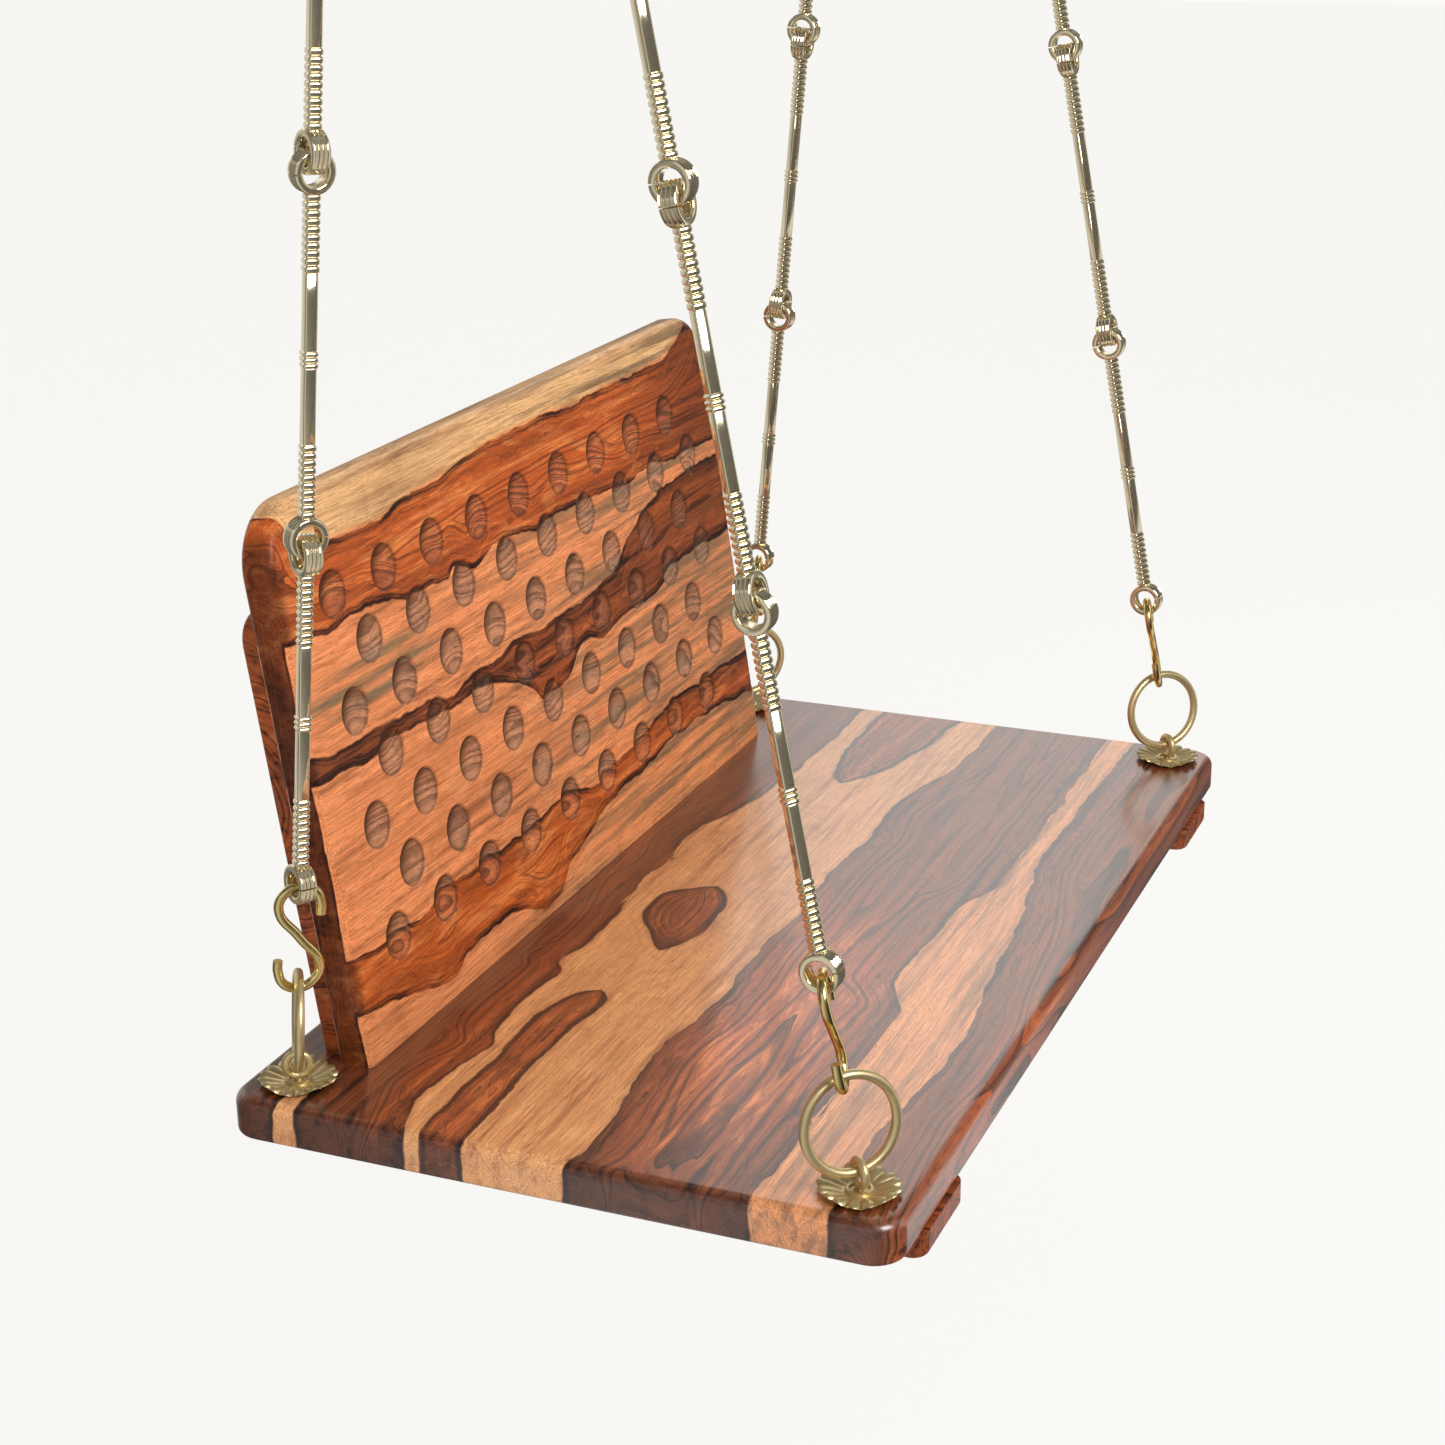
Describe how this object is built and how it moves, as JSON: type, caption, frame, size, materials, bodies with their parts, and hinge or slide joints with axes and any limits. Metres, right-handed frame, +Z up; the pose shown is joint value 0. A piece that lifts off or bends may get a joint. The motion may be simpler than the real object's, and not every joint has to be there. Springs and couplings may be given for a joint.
{
  "type": "porch swing",
  "caption": "Plank porch swing with a scooped wooden backrest, hung from ceiling hooks by ornamental brass link chains on rings and S hooks",
  "frame": {"origin": "On the ceiling plane, midway between the two ceiling hooks, at the centre of their four screw holes", "axes": "+X along the seat to the right as seen from in front, +Y to the backrest, +Z up to the ceiling"},
  "size_m": [0.942, 0.526, 1.6392],
  "materials": {
    "lacquered_wood": "gloss",
    "polished_brass": "polished",
    "drawn_brass": "satin",
    "pressed_brass": "satin",
    "plated_steel": "satin"
  },
  "bodies": {
    "ceiling": {"ceiling_hook_left": "drawn_brass", "ceiling_hook_right": "drawn_brass"},
    "top_rings": {"top_ring_left": "drawn_brass", "top_ring_right": "drawn_brass"},
    "left_chains": {"seat_ring_front_left": "drawn_brass", "lower_hook_front_left": "drawn_brass", "link_front_left_1": "polished_brass", "link_front_left_2": "polished_brass", "link_front_left_3": "polished_brass", "link_front_left_4": "polished_brass", "link_front_left_5": "polished_brass", "upper_hook_front_left": "drawn_brass", "seat_ring_back_left": "drawn_brass", "lower_hook_back_left": "drawn_brass", "link_back_left_1": "polished_brass", "link_back_left_2": "polished_brass", "link_back_left_3": "polished_brass", "link_back_left_4": "polished_brass", "link_back_left_5": "polished_brass", "upper_hook_back_left": "drawn_brass"},
    "right_chains": {"seat_ring_front_right": "drawn_brass", "lower_hook_front_right": "drawn_brass", "link_front_right_1": "polished_brass", "link_front_right_2": "polished_brass", "link_front_right_3": "polished_brass", "link_front_right_4": "polished_brass", "link_front_right_5": "polished_brass", "upper_hook_front_right": "drawn_brass", "seat_ring_back_right": "drawn_brass", "lower_hook_back_right": "drawn_brass", "link_back_right_1": "polished_brass", "link_back_right_2": "polished_brass", "link_back_right_3": "polished_brass", "link_back_right_4": "polished_brass", "link_back_right_5": "polished_brass", "upper_hook_back_right": "drawn_brass"},
    "seat": {"seat_plank_front": "lacquered_wood", "seat_plank_mid_front": "lacquered_wood", "seat_plank_mid_back": "lacquered_wood", "seat_plank_back": "lacquered_wood", "back_plank_1": "lacquered_wood", "back_plank_2": "lacquered_wood", "back_plank_3": "lacquered_wood", "back_plank_4": "lacquered_wood", "back_plank_5": "lacquered_wood", "batten_left": "lacquered_wood", "batten_right": "lacquered_wood", "cleat_left": "lacquered_wood", "cleat_right": "lacquered_wood", "eye_bolt_front_left": "drawn_brass", "eye_bolt_back_left": "drawn_brass", "eye_bolt_front_right": "drawn_brass", "eye_bolt_back_right": "drawn_brass", "rosettes": "pressed_brass", "washers": "plated_steel", "nuts": "plated_steel"}
  },
  "joints": [
    {"name": "swing", "type": "hinge", "parent": "ceiling", "child": "top_rings", "pos_m": [0, 0, -0.045], "axis": [1, 0, 0], "range_deg": [-25, 25]},
    {"name": "sway", "type": "hinge", "parent": "top_rings", "child": "left_chains", "pos_m": [-0.4315, 0, -0.10347], "axis": [0, 1, 0], "range_deg": [-4, 4]},
    {"name": "sway_right", "type": "hinge", "parent": "top_rings", "child": "right_chains", "pos_m": [0.4315, 0, -0.10347], "axis": [0, 1, 0], "range_deg": [-4, 4]},
    {"name": "seat_level", "type": "hinge", "parent": "left_chains", "child": "seat", "pos_m": [-0.4315, -0.068, -1.57291], "axis": [0, 1, 0], "range_deg": [-4, 4]}
  ],
  "couplings": [
    {"joint": "sway_right", "follows": "sway", "ratio": 1},
    {"joint": "seat_level", "follows": "sway", "ratio": -1}
  ]
}
